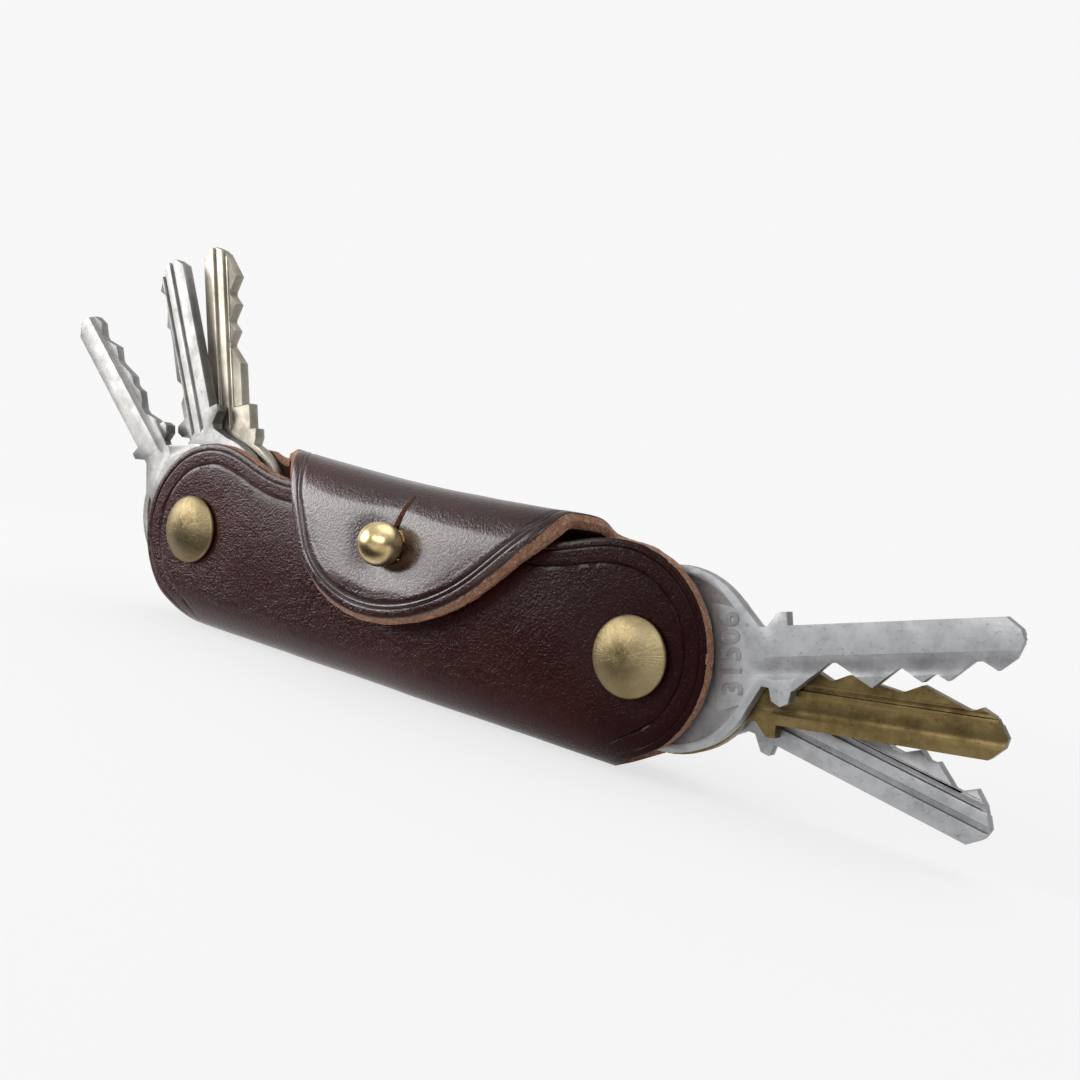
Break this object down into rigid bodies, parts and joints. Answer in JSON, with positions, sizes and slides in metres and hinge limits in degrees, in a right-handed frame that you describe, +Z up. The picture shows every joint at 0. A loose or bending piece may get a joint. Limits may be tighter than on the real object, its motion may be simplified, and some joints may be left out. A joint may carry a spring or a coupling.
{
  "type": "leather key organizer",
  "caption": "Folded leather case that holds house keys fanned out from a binding post at each end, with a buttonholed flap that closes over a ball stud.",
  "frame": {"origin": "centre of the narrow flat under the fold of the leather, midway between the two posts", "axes": "+X along the case towards the post on the right when the ball stud faces the viewer, +Y from the front panel to the back panel, +Z up from the fold to the flap"},
  "size_m": [0.1719, 0.0232, 0.0628],
  "materials": {
    "leather": "glossy, creased, with raw tan edges",
    "brass": "satin, a little tarnished",
    "steel": "satin, fine scratches",
    "aged_brass": "dark and worn",
    "nickel": "warm nickel plate, worn"
  },
  "bodies": {
    "case": {"leather_case": "leather", "closure_stud": "brass", "stud_screw": "brass", "left_post": "brass", "left_post_screw": "brass", "left_washer_1": "steel", "left_washer_2": "steel", "left_washer_3": "steel", "left_washer_4": "steel", "right_post": "brass", "right_post_screw": "brass", "right_washer_1": "steel", "right_washer_2": "steel", "right_washer_3": "steel", "right_washer_4": "steel"},
    "flap": {"closure_flap": "leather"},
    "key_right_front": {"key_right_front": "steel"},
    "key_right_middle": {"key_right_middle": "aged_brass"},
    "key_right_back": {"key_right_back": "steel"},
    "key_left_front": {"key_left_front": "steel"},
    "key_left_middle": {"key_left_middle": "steel"},
    "key_left_back": {"key_left_back": "nickel"}
  },
  "joints": [
    {"name": "flap_fold", "type": "hinge", "parent": "case", "child": "flap", "pos_m": [-0.002, 0.00535, 0.0262], "axis": [-1, 0, 0], "range_deg": [0, 150], "deforming": ["closure_flap"]},
    {"name": "key_right_front_turn", "type": "hinge", "parent": "case", "child": "key_right_front", "pos_m": [0.0424, -0.0026, 0.0157], "axis": [0, -1, 0], "range_deg": [-11, 169]},
    {"name": "key_right_middle_turn", "type": "hinge", "parent": "case", "child": "key_right_middle", "pos_m": [0.0424, 0, 0.0157], "axis": [0, -1, 0], "range_deg": [-22, 183]},
    {"name": "key_right_back_turn", "type": "hinge", "parent": "case", "child": "key_right_back", "pos_m": [0.0424, 0.0026, 0.0157], "axis": [0, -1, 0], "range_deg": [-4.5, 196]},
    {"name": "key_left_front_turn", "type": "hinge", "parent": "case", "child": "key_left_front", "pos_m": [-0.0424, -0.0026, 0.0157], "axis": [0, -1, 0], "range_deg": [-135.4, 33]},
    {"name": "key_left_middle_turn", "type": "hinge", "parent": "case", "child": "key_left_middle", "pos_m": [-0.0424, 0, 0.0157], "axis": [0, -1, 0], "range_deg": [-113, 81]},
    {"name": "key_left_back_turn", "type": "hinge", "parent": "case", "child": "key_left_back", "pos_m": [-0.0424, 0.0026, 0.0157], "axis": [0, -1, 0], "range_deg": [-101, 89]}
  ]
}
